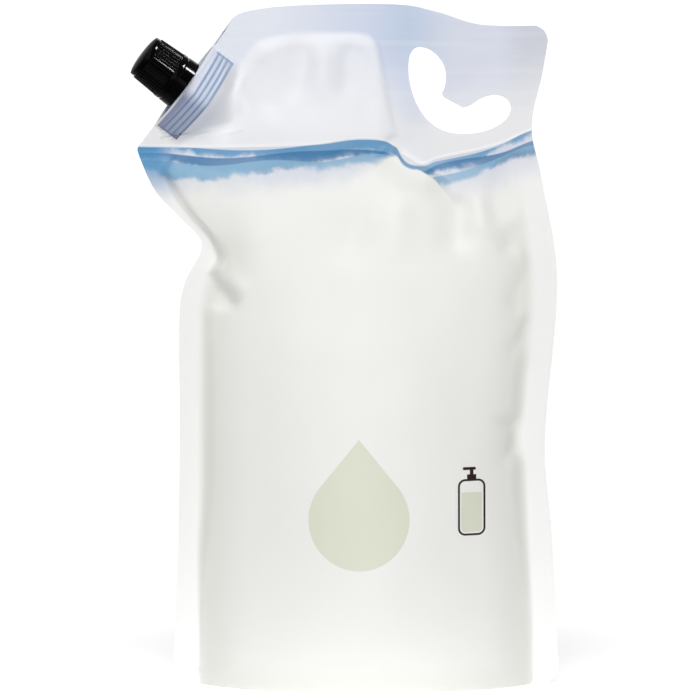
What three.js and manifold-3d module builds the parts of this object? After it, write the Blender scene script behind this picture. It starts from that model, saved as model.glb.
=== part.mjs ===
// Hand soap refill pack: a filled stand-up pouch with a welded corner spout, a screw cap and a punched hand
// hole. Millimetres, +Z up, the front faces -Y, and the pack stands on z = 0.

import * as THREE from 'three';
import { mergeVertices } from 'three/addons/utils/BufferGeometryUtils.js';
import Module from 'manifold-3d';

// Bag outline, seen from the front, with x = 0 midway between the two side edges
const bagWidth = 198;
const bagHeight = 360;
const footFlare = 3.4;
const footCutWidth = 5;
const footCutHeight = 8;
const waistDrop = 127;
const waistInset = 12;
const waistReach = 40;
const shoulderDrop = 75;
const shoulderReach = 21;
const cornerEdgeAngle = 52.9;
const cornerDrop = 14.4;
const rightPinchHeight = 130;
const rightPinchInset = 3.8;
const rightBulgeDrop = 147;
const rightBulge = 2.2;
const rightWaistDrop = 65;
const rightWaistInset = 11.4;
const rightWaistReach = 29;
const topBend = 38;
const handleCornerInset = 1.4;
const handleCornerDrop = 11;
const handleCornerRadius = 8;

// Seals, film and filling
const filmThickness = 0.8;
const sideSeal = 10;
const topSeal = 13;
const cornerSeal = 14;
const fillVolume = 2.1e6;
const headspace = 68;

// Foot: where the front and back films stand on the ground, and the gusset film between them
const footDepth = 86;
const skirtThickness = 1;
const gussetLow = 15.5;
const gussetHigh = 64;
const gussetSag = 0.6;

// Flat sealed zone round the hand hole
const handleFoldInset = 90;
const handleFoldLean = 11;
const handleZoneDrop = 88;
const handleZoneBow = 14.8;
const handleZoneRound = 9;
const handleLean = 3;
const handleLeanReach = 60;
const holeInset = 49.3;
const holeDrop = 45;
const holeWidth = 54.2;

// Spout
const spoutLean = 9.5;
const spoutShift = 2;
const leanReach = 45;
const leanSoftness = 20;
const neckRadius = 9.7;
const neckWall = 1.7;
const neckTop = 23.8;
const baseLength = 49.5;
const baseBladeWidth = 1.2;
const baseTopDepth = 2.8;
const ribCount = 4;
const ribHeight = 1.7;
const ribGroove = 1.2;
const ribStep = 1.2;
const beadReach = 2.05;
const beadFoot = 1.9;
const beadHeight = 2.2;
const threadLead = 4;
const threadTurns = 2.75;
const threadRadius = 0.95;
const threadFoot = 9.5;

// Dents in the faces of the bag
const dentReach = 40;
const dentDepth = 7;
const dentWidth = 8;

// Fits and edges
const clearance = 0.3;
const runningGap = 0.35;
const edgeBreak = 0.3;
const cutThrough = 5;

// Tamper band
const bandFoot = 0.4;
const bandHeight = 6;
const bandWall = 1.65;
const bandTaper = 0.2;
const bandLipHeight = 1.2;
const bandGap = 0.8;
const nibCount = 8;
const nibWidth = 0.9;

// Cap
const capWall = 1.7;
const collarWall = 2.4;
const collarHeight = 2.9;
const gripTaper = 0.75;
const gripRibs = 40;
const gripRibDepth = 0.4;
const stepHeight = 0.6;
const stepWall = 0.4;
const crownWall = 0.75;
const crownHeight = 2.2;
const crownDome = 1.2;
const capRoof = 1.5;

// Sealing wad in the cap
const linerThickness = 1;

// Derived sizes of the bag
const side = bagWidth / 2;
const filmHalf = filmThickness / 2;
const waistHeight = bagHeight - waistDrop;
const rightBulgeHeight = bagHeight - rightBulgeDrop;
const rightWaistHeight = bagHeight - rightWaistDrop;
const handleFoldX = side - handleFoldInset;
const handleZoneFloor = bagHeight - handleZoneDrop;
const edgeAngle = THREE.MathUtils.degToRad(cornerEdgeAngle);
const edgeDirection = new THREE.Vector2(Math.cos(edgeAngle), Math.sin(edgeAngle));
const edgeNormal = new THREE.Vector2(-edgeDirection.y, edgeDirection.x);
const cornerEdgeLength = (shoulderDrop - cornerDrop) / edgeDirection.y;
const shoulder = new THREE.Vector2(-side - shoulderReach, bagHeight - shoulderDrop);
const cornerTop = shoulder.clone().addScaledVector(edgeDirection, cornerEdgeLength);
const spoutPoint = shoulder.clone().addScaledVector(edgeDirection, cornerEdgeLength / 2 + spoutShift);
const soapLevel = bagHeight - headspace;
const leanSlope = Math.tan(THREE.MathUtils.degToRad(spoutLean));
const footHalfWidth = side - sideSeal;

// Derived sizes of the spout and its band
const baseThickness = neckRadius * 2;
const baseHeight = ribCount * ribHeight + (ribCount - 1) * ribGroove;
const baseFootDepth = baseTopDepth + baseHeight;
const beadRadius = neckRadius + beadReach;
const bandRadius = beadRadius + clearance + bandWall;

// Derived sizes of the cap
const capBore = neckRadius + threadRadius + runningGap;
const linerFoot = neckTop + clearance;
const capCeiling = linerFoot + linerThickness + clearance;
const capFoot = bandFoot + bandHeight + bandGap;
const gripFoot = capFoot + collarHeight;
const capTop = capCeiling + capRoof;
const crownFoot = capTop - crownHeight;
const stepFoot = crownFoot - stepHeight;
const collarRadius = capBore + collarWall;
const gripRadius = capBore + capWall + gripRibDepth;
const stepRadius = capBore + stepWall;
const crownRadius = capBore + crownWall;

const wasm = await Module();
wasm.setup();

function toSolid(geometry) {
  const bare = geometry.clone();
  bare.deleteAttribute('normal');
  bare.deleteAttribute('uv');
  const merged = mergeVertices(bare, 1e-4);
  return new wasm.Manifold(new wasm.Mesh({
    numProp: 3,
    vertProperties: Float32Array.from(merged.attributes.position.array),
    triVerts: Uint32Array.from(merged.index.array),
  }));
}

function toGeometry(solid) {
  const mesh = solid.getMesh();
  const geometry = new THREE.BufferGeometry();
  geometry.setAttribute('position', new THREE.BufferAttribute(Float32Array.from(mesh.vertProperties), 3));
  geometry.setIndex(new THREE.BufferAttribute(Uint32Array.from(mesh.triVerts), 1));
  geometry.computeVertexNormals();
  return geometry;
}

function smoothStep(from, to, value) {
  return THREE.MathUtils.smoothstep(value, from, to);
}

// Left border of the bag from the ground to the top: foot corner, side, waist, shoulder, slanted spout edge
function leftBorder() {
  const footOut = -side - footFlare;
  const border = new THREE.CurvePath();
  border.add(new THREE.LineCurve(
    new THREE.Vector2(footOut + footCutWidth, 0),
    new THREE.Vector2(footOut, footCutHeight),
  ));
  border.add(new THREE.SplineCurve([
    new THREE.Vector2(footOut, footCutHeight),
    new THREE.Vector2(-side - footFlare / 3, waistHeight * 0.3),
    new THREE.Vector2(-side, waistHeight * 0.6),
    new THREE.Vector2(-side, waistHeight - waistReach),
    new THREE.Vector2(-side + waistInset * 0.25, waistHeight - waistReach * 0.5),
    new THREE.Vector2(-side + waistInset, waistHeight),
    new THREE.Vector2(-side, waistHeight + waistReach * 0.375),
    new THREE.Vector2(-side - shoulderReach * 0.6, waistHeight + waistReach * 0.725),
    new THREE.Vector2(shoulder.x, shoulder.y - waistReach * 0.1),
    shoulder,
  ]));
  border.add(new THREE.LineCurve(shoulder, cornerTop));
  return border;
}

// Right border of the bag from the ground to the handle corner
function rightBorder() {
  const footOut = side + footFlare;
  const top = bagHeight - handleCornerDrop;
  const border = new THREE.CurvePath();
  border.add(new THREE.LineCurve(
    new THREE.Vector2(footOut - footCutWidth, 0),
    new THREE.Vector2(footOut, footCutHeight),
  ));
  border.add(new THREE.SplineCurve([
    new THREE.Vector2(footOut, footCutHeight),
    new THREE.Vector2(side, rightPinchHeight * 0.6),
    new THREE.Vector2(side - rightPinchInset, rightPinchHeight),
    new THREE.Vector2(side + rightBulge, rightBulgeHeight),
    new THREE.Vector2(side - rightWaistInset * 0.5, rightWaistHeight - rightWaistReach),
    new THREE.Vector2(side - rightWaistInset, rightWaistHeight),
    new THREE.Vector2(side - rightWaistInset * 0.5, rightWaistHeight + rightWaistReach),
    new THREE.Vector2(side - handleCornerInset, top),
  ]));
  return border;
}

// Top border of the bag from the end of the slanted edge to the handle corner
function topBorder() {
  const cornerX = side - handleCornerInset;
  const cornerZ = bagHeight - handleCornerDrop;
  return new THREE.SplineCurve([
    cornerTop,
    new THREE.Vector2(cornerTop.x + topBend * 0.21, bagHeight - cornerDrop * 0.35),
    new THREE.Vector2(cornerTop.x + topBend, bagHeight - cornerDrop * 0.05),
    new THREE.Vector2(side * 0.15, bagHeight),
    new THREE.Vector2(side * 0.38, bagHeight - handleCornerDrop * 0.36),
    new THREE.Vector2(side * 0.62, cornerZ + handleCornerDrop * 0.03),
    new THREE.Vector2(cornerX, cornerZ),
  ]);
}

// The four borders make one patch: u runs from left to right and v from the ground up
const borderLeft = leftBorder();
const borderRight = rightBorder();
const borderTop = topBorder();
const footLeft = borderLeft.getPoint(0);
const footRight = borderRight.getPoint(0);
const topLeft = borderLeft.getPoint(1);
const topRight = borderRight.getPoint(1);

function outlinePoint(u, v) {
  const left = borderLeft.getPoint(v);
  const right = borderRight.getPoint(v);
  const bottom = footLeft.clone().lerp(footRight, u);
  const top = borderTop.getPointAt(u);
  const corners = bottom.clone().lerp(topLeft.clone().lerp(topRight, u), v);
  return left.lerp(right, u).add(bottom.lerp(top, v)).sub(corners);
}

// Distance along the slanted edge from the spout's axis, and depth below that edge
function spoutOffset(x, z) {
  const offset = new THREE.Vector2(x, z).sub(spoutPoint);
  return { along: offset.dot(edgeDirection), depth: -offset.dot(edgeNormal) };
}

// The middle surface of the bag: flat, but the spout corner leans forward and the handle corner back
function middleDepth(x, z) {
  const reach = THREE.MathUtils.clamp(leanReach - spoutOffset(x, z).depth, -leanSoftness, Infinity);
  const eased = reach < leanSoftness ? (reach + leanSoftness) ** 2 / (4 * leanSoftness) : reach;
  const handle = handleLean * smoothStep(0, handleLeanReach, handleZoneDepth(x, z));
  return handle - leanSlope * eased;
}

// How far a point lies inside the flat sealed zone of the hand hole, negative outside it
function handleZoneDepth(x, z) {
  const fall = (bagHeight - topSeal - z) / (bagHeight - handleZoneFloor);
  const fromFold = x - handleFoldX - handleFoldLean * fall;
  const bow = handleZoneBow * (x / (side * 0.4) - 1) ** 2;
  const fromFloor = z - handleZoneFloor - bow;
  const blend = Math.max(handleZoneRound - Math.abs(fromFold - fromFloor), 0) / handleZoneRound;
  return Math.min(fromFold, fromFloor) - blend * blend * handleZoneRound / 4;
}

// Half the thickness of the boat-shaped weld base at a distance along it, with blunt blades at its ends
function boatHalf(along, growth) {
  const rise = (baseThickness - baseBladeWidth) / 2;
  const radius = ((baseLength / 2) ** 2 + rise ** 2) / (2 * rise);
  const half = Math.sqrt(radius ** 2 - along ** 2) - radius + rise + baseBladeWidth / 2 + growth;
  return Math.max(half, baseBladeWidth / 4);
}

// Half the depth of the foot where it meets the ground
function footHalf(x) {
  const across = Math.min(Math.abs(x) / footHalfWidth, 1);
  return filmHalf + (footDepth / 2 - filmHalf) * (1 - across ** 2.4) ** 0.8;
}

// The filling. Film under the soap's pressure settles like a membrane, held flat where it is sealed, and held
// open by the foot and by the spout's base. It is relaxed on an even grid over the whole front.
const fillStep = 3;
const fillLeft = -side - shoulderReach - fillStep;
const fillColumns = Math.ceil((side + footFlare - fillLeft) / fillStep) + 2;
const fillRows = Math.ceil(bagHeight / fillStep) + 2;

function borderAtHeight(border, samples) {
  const points = border.getPoints(samples);
  return (z) => {
    const next = points.findIndex((point) => point.y >= z);
    if (next < 1) return next === 0 ? points[0].x : points[points.length - 1].x;
    const share = (z - points[next - 1].y) / (points[next].y - points[next - 1].y);
    return THREE.MathUtils.lerp(points[next - 1].x, points[next].x, share);
  };
}

function sealMap() {
  const leftAt = borderAtHeight(borderLeft, 40);
  const rightAt = borderAtHeight(borderRight, 40);
  const ceiling = bagHeight - topSeal;
  return (x, z) => {
    const { along, depth } = spoutOffset(x, z);
    if (Math.abs(along) < baseLength / 2 && depth < baseFootDepth) return boatHalf(along, -clearance);
    if (depth < cornerSeal || z > ceiling || handleZoneDepth(x, z) > 0) return filmHalf;
    if (x < leftAt(z) + sideSeal || x > rightAt(z) - sideSeal) return filmHalf;
    return null;
  };
}

function relaxFilling() {
  const sealAt = sealMap();
  const held = [];
  const half = [];
  const push = [];
  for (let row = 0; row < fillRows; row += 1) {
    const z = row * fillStep;
    for (let column = 0; column < fillColumns; column += 1) {
      const x = fillLeft + column * fillStep;
      const onRim = column === 0 || column === fillColumns - 1 || row === fillRows - 1;
      const sealed = onRim ? filmHalf : sealAt(x, z);
      const fixed = row === 0 ? footHalf(x) : sealed;
      held.push(fixed !== null);
      half.push(fixed ?? filmHalf);
      push.push(Math.max(soapLevel - z, 0) / soapLevel);
    }
  }
  const settle = (pressure, start) => {
    const depth = start.slice();
    for (let sweep = 0; sweep < 700; sweep += 1) {
      for (let row = 1; row < fillRows - 1; row += 1) {
        for (let column = 1; column < fillColumns - 1; column += 1) {
          const at = row * fillColumns + column;
          if (held[at]) continue;
          const around = depth[at - 1] + depth[at + 1] + depth[at - fillColumns] + depth[at + fillColumns];
          const target = (around + pressure * push[at]) / 4;
          depth[at] += 1.85 * (target - depth[at]);
        }
      }
    }
    return depth;
  };
  const slack = settle(0, half);
  const pushed = settle(1, half);
  const cell = 2 * fillStep ** 2;
  const content = (depth) => depth.reduce((total, value) => total + (value - filmHalf) * cell, 0);
  const pressure = (fillVolume - content(slack)) / (content(pushed) - content(slack));
  return slack.map((value, at) => value + pressure * (pushed[at] - value));
}

const filling = relaxFilling();

function fillHalf(x, z) {
  const column = THREE.MathUtils.clamp((x - fillLeft) / fillStep, 0, fillColumns - 1.001);
  const row = THREE.MathUtils.clamp(z / fillStep, 0, fillRows - 1.001);
  const left = Math.floor(column);
  const low = Math.floor(row);
  const at = low * fillColumns + left;
  const near = THREE.MathUtils.lerp(filling[at], filling[at + 1], column - left);
  const far = THREE.MathUtils.lerp(filling[at + fillColumns], filling[at + fillColumns + 1], column - left);
  return THREE.MathUtils.lerp(near, far, row - low);
}

// Dents: soft troughs pressed into one face of the bag. Each starts at a point, runs as far as its run says, in
// dent lengths, and fades towards its end.
const foldX = handleFoldX - sideSeal;
const flank = side - sideSeal * 1.6;
const flankHeight = rightWaistHeight - topSeal * 1.5;
const dents = [
  { face: 'front', from: [-side + sideSeal, waistHeight], run: [0.72, -0.75], depth: 1, width: 1 },
  { face: 'front', from: [foldX, bagHeight - topSeal * 2.3], run: [0.27, -1.1], depth: 0.6, width: 0.9 },
  { face: 'front', from: [side * 0.2, handleZoneFloor], run: [0.6, -0.23], depth: 0.6, width: 0.75 },
  { face: 'front', from: [flank, flankHeight], run: [-0.3, -0.85], depth: 0.6, width: 0.9 },
  { face: 'front', from: [side - sideSeal, rightBulgeHeight], run: [-0.33, -0.38], depth: 0.45, width: 0.75 },
  { face: 'back', from: [-side + sideSeal, waistHeight], run: [1, -0.35], depth: 1, width: 1.1 },
  { face: 'back', from: [side * 0.2, handleZoneFloor], run: [0.95, -0.38], depth: 0.7, width: 1 },
  { face: 'back', from: [side - sideSeal * 1.2, rightPinchHeight], run: [-0.55, 0.3], depth: 0.45, width: 1 },
];

function dentAt(face, x, z) {
  let total = 0;
  for (const dent of dents) {
    if (dent.face !== face) continue;
    const run = new THREE.Vector2(...dent.run).multiplyScalar(dentReach);
    const offset = new THREE.Vector2(x, z).sub(new THREE.Vector2(...dent.from));
    const share = THREE.MathUtils.clamp(offset.dot(run) / run.lengthSq(), 0, 1);
    const away = offset.addScaledVector(run, -share).length() / (dent.width * dentWidth);
    total += dentDepth * dent.depth * (1 - 0.7 * share) * Math.exp(-away * away);
  }
  return total;
}

function faceDepth(face, x, z) {
  return Math.max(fillHalf(x, z) - dentAt(face, x, z), filmHalf);
}

// Two skins of points, a front and a back one, joined round their rim into one closed body
function skinPair(columns, rows, frontAt, backAt) {
  const stride = columns + 1;
  const backStart = stride * (rows + 1);
  const positions = [];
  const faces = [];
  const quad = (a, b, c, d) => faces.push(a, b, c, a, c, d);
  for (const pointAt of [frontAt, backAt]) {
    for (let row = 0; row <= rows; row += 1) {
      for (let column = 0; column <= columns; column += 1) positions.push(...pointAt(column, row));
    }
  }
  for (let row = 0; row < rows; row += 1) {
    for (let column = 0; column < columns; column += 1) {
      const at = row * stride + column;
      quad(at, at + 1, at + stride + 1, at + stride);
      quad(backStart + at, backStart + at + stride, backStart + at + stride + 1, backStart + at + 1);
    }
  }
  for (let column = 0; column < columns; column += 1) {
    const top = rows * stride + column;
    quad(column, backStart + column, backStart + column + 1, column + 1);
    quad(top, top + 1, backStart + top + 1, backStart + top);
  }
  for (let row = 0; row < rows; row += 1) {
    const left = row * stride;
    const right = left + columns;
    quad(left, left + stride, backStart + left + stride, backStart + left);
    quad(right, backStart + right, backStart + right + stride, right + stride);
  }
  const geometry = new THREE.BufferGeometry();
  geometry.setAttribute('position', new THREE.Float32BufferAttribute(positions, 3));
  geometry.setIndex(faces);
  return geometry;
}

// Film bag: rows of points across the outline. The first and last column lie on the edge and the next on the
// seal line.
function bagBody() {
  const columns = 30;
  const rows = 42;
  const place = (column, row) => {
    const v = row === rows ? 1 : (row / (rows - 1)) * (1 - topSeal / bagHeight);
    const width = borderLeft.getPoint(v).distanceTo(borderRight.getPoint(v));
    const seal = sideSeal / width;
    const inner = THREE.MathUtils.clamp((column - 1) / (columns - 2), 0, 1);
    let u = seal + (1 - 2 * seal) * inner;
    if (column === 0) u = 0;
    if (column === columns) u = 1;
    return outlinePoint(u, v);
  };
  const skin = (face, direction) => (column, row) => {
    const point = place(column, row);
    const z = Math.max(point.y, 0);
    return [point.x, middleDepth(point.x, z) + direction * faceDepth(face, point.x, z), z];
  };
  return toSolid(skinPair(columns, rows, skin('front', -1), skin('back', 1)));
}

// Space under the gusset film: a groove behind the skirt all round, rising to an arch at each side seal. The
// film sags to the ground in the middle, and the bag stands on that flat pad and on the skirt.
function gussetSpace() {
  const columns = 28;
  const rows = 16;
  const reach = footHalfWidth - skirtThickness;
  const slotHalf = clearance;
  const place = (column, row) => {
    const across = Math.sin((column / columns - 0.5) * Math.PI);
    const along = Math.sin((row / rows - 0.5) * Math.PI);
    const x = across * reach;
    const arch = gussetLow + (gussetHigh - gussetLow) * Math.abs(across) ** 5;
    const middle = gussetHigh * smoothStep(0.66, 1.1, Math.abs(across));
    const z = middle + (arch - middle) * Math.abs(along) ** 5 - gussetSag;
    return { x, along, z };
  };
  const top = (column, row) => {
    const { x, along, z } = place(column, row);
    const half = Math.min(faceDepth('front', x, Math.max(z, 0)), footHalf(x) * 1.4);
    return [x, along * Math.max(half - skirtThickness, slotHalf), z];
  };
  const bottom = (column, row) => {
    const { x, along } = place(column, row);
    return [x, along * Math.max(footHalf(x) - skirtThickness, slotHalf), -cutThrough];
  };
  return toSolid(skinPair(columns, rows, top, bottom));
}

// An outline in the plane of the front, punched through the whole bag
function punchThrough(outline, curveSegments) {
  const punch = new THREE.ExtrudeGeometry(outline, { depth: footDepth, bevelEnabled: false, curveSegments });
  punch.rotateX(Math.PI / 2);
  punch.translate(0, footDepth / 2, 0);
  return toSolid(punch);
}

// Hand hole: two lobes for the fingers round a tab of film, drawn round its tab and then scaled to its width
function handHole() {
  const outline = new THREE.Shape();
  outline.moveTo(-9.6, -2);
  outline.bezierCurveTo(-7.4, 2, -6.9, 7, -8.1, 11.3);
  outline.bezierCurveTo(-9.8, 17.5, -16, 22.5, -21.4, 22.5);
  outline.bezierCurveTo(-26, 22.5, -27.4, 17, -27.4, 12);
  outline.bezierCurveTo(-27.4, 1, -23, -11, -16, -17.1);
  outline.bezierCurveTo(-11.5, -21.3, -5, -23.4, 1.5, -23.4);
  outline.bezierCurveTo(14, -23.4, 26.8, -18, 26.8, -9.5);
  outline.bezierCurveTo(26.8, -5.5, 23, -2.8, 18.4, -2.8);
  outline.bezierCurveTo(10, -2.8, 6.5, -9.4, 1.5, -9.4);
  outline.lineTo(-8.6, -4);
  outline.closePath();
  const drawn = new THREE.Box2().setFromPoints(outline.getPoints()).getSize(new THREE.Vector2());
  const scale = holeWidth / drawn.x;
  const hole = punchThrough(outline, 7).scale([scale, 1, scale]);
  return hole.translate([side - holeInset, 0, bagHeight - holeDrop]);
}

// What is trimmed off a corner of the bag to round it, between the borders that run away from the corner
function cornerTrim(corner, along, down, radius) {
  const halfAngle = along.angleTo(down) / 2;
  const tangent = radius / Math.tan(halfAngle);
  const inward = along.clone().add(down).normalize();
  const centre = corner.clone().addScaledVector(inward, radius / Math.sin(halfAngle));
  const first = corner.clone().addScaledVector(along, tangent);
  const last = corner.clone().addScaledVector(down, tangent);
  const outside = corner.clone().addScaledVector(inward, -radius);
  const outline = new THREE.Shape();
  outline.moveTo(first.x, first.y);
  const firstAngle = first.clone().sub(centre).angle();
  const lastAngle = last.clone().sub(centre).angle();
  outline.absarc(centre.x, centre.y, radius, firstAngle, lastAngle, true);
  outline.lineTo(outside.x, outside.y);
  outline.closePath();
  return punchThrough(outline, 6);
}

function handleCornerTrim() {
  const corner = topRight;
  const along = borderTop.getPointAt(0.97).sub(corner).normalize();
  const down = borderRight.getPoint(0.985).sub(corner).normalize();
  return cornerTrim(corner, along, down, handleCornerRadius);
}

// A slice of the boat-shaped base in the spout's own frame, grown outwards and spanning two heights
function boatSlice(growth, low, high) {
  const steps = 14;
  const end = baseLength / 2;
  const outline = new THREE.Shape();
  for (let step = 0; step <= steps; step += 1) {
    const along = -end + (baseLength * step) / steps;
    outline[step ? 'lineTo' : 'moveTo']((along * (end + growth)) / end, -boatHalf(along, growth));
  }
  for (let step = steps; step >= 0; step -= 1) {
    const along = -end + (baseLength * step) / steps;
    outline.lineTo((along * (end + growth)) / end, boatHalf(along, growth));
  }
  outline.closePath();
  const slice = new THREE.ExtrudeGeometry(outline, { depth: high - low, bevelEnabled: false });
  slice.translate(0, 0, low);
  return toSolid(slice);
}

function turned(profile, segments) {
  const points = profile.map(([radius, height]) => new THREE.Vector2(radius, height));
  const geometry = new THREE.LatheGeometry(points, segments);
  geometry.rotateX(Math.PI / 2);
  return toSolid(geometry);
}

// Frame of the spout: its origin on the bag's slanted edge, its z axis outwards along the neck
function spoutFrame() {
  const frame = new THREE.Group();
  frame.position.set(spoutPoint.x, middleDepth(spoutPoint.x, spoutPoint.y), spoutPoint.y);
  frame.rotation.set(THREE.MathUtils.degToRad(spoutLean), -edgeAngle, 0, 'YXZ');
  frame.updateMatrix();
  return frame;
}

function ribFoot(index) {
  return -baseTopDepth - ribHeight - index * (ribHeight + ribGroove);
}

// Film pulled over the ribs of the weld base, which show through it as raised bands
function filmSleeve() {
  let sleeve = boatSlice(clearance + filmThickness * 0.6, -baseFootDepth - clearance - filmThickness, 0);
  for (let index = 0; index < ribCount; index += 1) {
    const foot = ribFoot(index);
    sleeve = sleeve.add(boatSlice(clearance + filmThickness * 1.2, foot, foot + ribHeight));
  }
  return sleeve;
}

function pouchGeometry(frame) {
  const toBag = frame.matrix.elements;
  const sleeve = filmSleeve().transform([...toBag]);
  const pocket = boatSlice(clearance, -baseFootDepth - clearance, cutThrough).transform([...toBag]);
  const film = bagBody().add(sleeve).subtract(pocket).subtract(gussetSpace());
  return toGeometry(film.subtract(handHole()).subtract(handleCornerTrim()));
}

class ThreadCurve extends THREE.Curve {
  getPoint(share) {
    const turn = share * threadTurns * 2 * Math.PI;
    const height = threadFoot + share * threadTurns * threadLead;
    return new THREE.Vector3(neckRadius * Math.cos(turn), neckRadius * Math.sin(turn), height);
  }
}

function threadRidge() {
  const section = new THREE.Shape();
  section.absarc(0, 0, threadRadius, 0, 2 * Math.PI);
  const steps = Math.round(threadTurns * 20);
  const path = { steps, extrudePath: new ThreadCurve(), curveSegments: 6 };
  return toSolid(new THREE.ExtrudeGeometry(section, path));
}

function spoutGeometry() {
  const foot = -baseFootDepth;
  let spout = boatSlice(-ribStep, foot, -baseTopDepth);
  for (let index = 0; index < ribCount; index += 1) {
    spout = spout.add(boatSlice(0, ribFoot(index), ribFoot(index) + ribHeight));
  }
  const neck = turned([
    [0, foot],
    [neckRadius - ribStep, foot],
    [neckRadius - ribStep, -baseTopDepth],
    [neckRadius - clearance, -baseTopDepth],
    [neckRadius - clearance, beadFoot - edgeBreak * 2],
    [beadRadius - edgeBreak, beadFoot],
    [beadRadius, beadFoot + edgeBreak * 2],
    [neckRadius, beadFoot + beadHeight],
    [neckRadius, neckTop - edgeBreak * 2],
    [neckRadius - edgeBreak * 2, neckTop],
    [0, neckTop],
  ], 32);
  const boreRadius = neckRadius - neckWall;
  const bore = new THREE.CylinderGeometry(boreRadius, boreRadius, neckTop - foot + 2 * cutThrough, 32);
  bore.rotateX(Math.PI / 2);
  bore.translate(0, 0, (neckTop + foot) / 2);
  return toGeometry(spout.add(neck).add(threadRidge()).subtract(toSolid(bore)));
}

function bandGeometry() {
  const inner = bandRadius - bandWall;
  const lip = beadRadius - clearance;
  const top = bandFoot + bandHeight;
  let band = turned([
    [lip, bandFoot],
    [bandRadius - edgeBreak, bandFoot],
    [bandRadius, bandFoot + edgeBreak],
    [bandRadius - bandTaper, top],
    [inner, top],
    [inner, bandFoot + bandLipHeight + edgeBreak * 2],
    [lip, bandFoot + bandLipHeight],
    [lip, bandFoot],
  ], 40);
  for (let index = 0; index < nibCount; index += 1) {
    const nib = new THREE.BoxGeometry(bandWall * 0.6, nibWidth, bandGap);
    nib.translate(inner + bandWall / 2, 0, top + bandGap / 2 - clearance);
    nib.rotateZ((index / nibCount) * 2 * Math.PI);
    band = band.add(toSolid(nib));
  }
  return toGeometry(band);
}

// Grip of the cap: a sleeve with fine upright ribs that narrows towards the top
function gripSleeve() {
  const outline = new THREE.Shape();
  const points = gripRibs * 4;
  for (let index = 0; index < points; index += 1) {
    const angle = ((index + 0.5) / points) * 2 * Math.PI;
    const radius = index % 4 < 2 ? gripRadius : gripRadius - gripRibDepth;
    outline[index ? 'lineTo' : 'moveTo'](radius * Math.cos(angle), radius * Math.sin(angle));
  }
  outline.closePath();
  const gripHeight = stepFoot - gripFoot;
  const grip = new THREE.ExtrudeGeometry(outline, { depth: gripHeight, bevelEnabled: false });
  const corners = grip.attributes.position;
  for (let index = 0; index < corners.count; index += 1) {
    const taper = 1 - (gripTaper / gripRadius) * (corners.getZ(index) / gripHeight);
    corners.setXY(index, corners.getX(index) * taper, corners.getY(index) * taper);
  }
  grip.translate(0, 0, gripFoot);
  return toSolid(grip);
}

function capGeometry() {
  const shell = turned([
    [0, capFoot],
    [collarRadius, capFoot],
    [collarRadius, gripFoot - edgeBreak],
    [gripRadius - gripRibDepth, gripFoot],
    [gripRadius - gripRibDepth - gripTaper, stepFoot],
    [stepRadius, stepFoot + edgeBreak],
    [stepRadius, crownFoot - edgeBreak],
    [crownRadius, crownFoot],
    [crownRadius, capTop - edgeBreak * 2],
    [crownRadius - edgeBreak * 2, capTop],
    [crownRadius * 0.6, capTop + crownDome * 0.75],
    [0, capTop + crownDome],
  ], 40);
  const hollow = new THREE.CylinderGeometry(capBore, capBore, capCeiling - capFoot + cutThrough, 40);
  hollow.rotateX(Math.PI / 2);
  hollow.translate(0, 0, (capCeiling + capFoot - cutThrough) / 2);
  return toGeometry(shell.add(gripSleeve()).subtract(toSolid(hollow)));
}

function linerGeometry() {
  const liner = new THREE.CylinderGeometry(capBore - clearance, capBore - clearance, linerThickness, 40);
  liner.rotateX(Math.PI / 2);
  liner.translate(0, 0, linerFoot + linerThickness / 2);
  return liner;
}

// Materials
function plastic(color, roughness) {
  return new THREE.MeshStandardMaterial({ color, roughness, metalness: 0 });
}

const filmMaterial = plastic(0xf0f1ee, 0.42);
const spoutMaterial = plastic(0xdfe3ea, 0.4);
const capMaterial = plastic(0x0b0b0c, 0.2);
const linerMaterial = plastic(0xe9e7e0, 0.8);

function part(name, geometry, material) {
  const mesh = new THREE.Mesh(geometry, material);
  mesh.name = name;
  return mesh;
}

// The pack. The spout's group holds everything that is turned about its axis.
const refillPack = new THREE.Group();
const spoutGroup = spoutFrame();
refillPack.add(part('pouch', pouchGeometry(spoutGroup), filmMaterial));
spoutGroup.add(part('spout', spoutGeometry(), spoutMaterial));
spoutGroup.add(part('tamper_band', bandGeometry(), capMaterial));
spoutGroup.add(part('cap', capGeometry(), capMaterial));
spoutGroup.add(part('cap_liner', linerGeometry(), linerMaterial));
refillPack.add(spoutGroup);

// The origin is on the ground, under the middle of the pack's box
const extent = new THREE.Box3().setFromObject(refillPack, true);
const middle = extent.getCenter(new THREE.Vector3());
refillPack.position.set(-middle.x, -middle.y, 0);

export default refillPack;
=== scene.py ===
import math
import bmesh
import bpy
import numpy as np
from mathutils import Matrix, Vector, noise


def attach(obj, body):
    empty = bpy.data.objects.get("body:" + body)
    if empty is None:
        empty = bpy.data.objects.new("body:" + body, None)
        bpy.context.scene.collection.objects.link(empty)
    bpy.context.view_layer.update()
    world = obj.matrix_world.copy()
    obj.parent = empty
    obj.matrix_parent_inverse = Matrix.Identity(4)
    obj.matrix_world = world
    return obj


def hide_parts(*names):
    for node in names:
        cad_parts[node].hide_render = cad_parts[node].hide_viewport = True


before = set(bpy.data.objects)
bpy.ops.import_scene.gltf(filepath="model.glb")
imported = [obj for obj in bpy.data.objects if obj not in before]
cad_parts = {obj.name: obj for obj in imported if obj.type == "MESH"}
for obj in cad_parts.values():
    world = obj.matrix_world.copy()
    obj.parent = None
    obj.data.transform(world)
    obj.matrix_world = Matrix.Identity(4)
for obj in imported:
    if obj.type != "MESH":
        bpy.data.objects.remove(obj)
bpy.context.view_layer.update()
mm = 0.001


# camera, floor and lights

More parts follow.
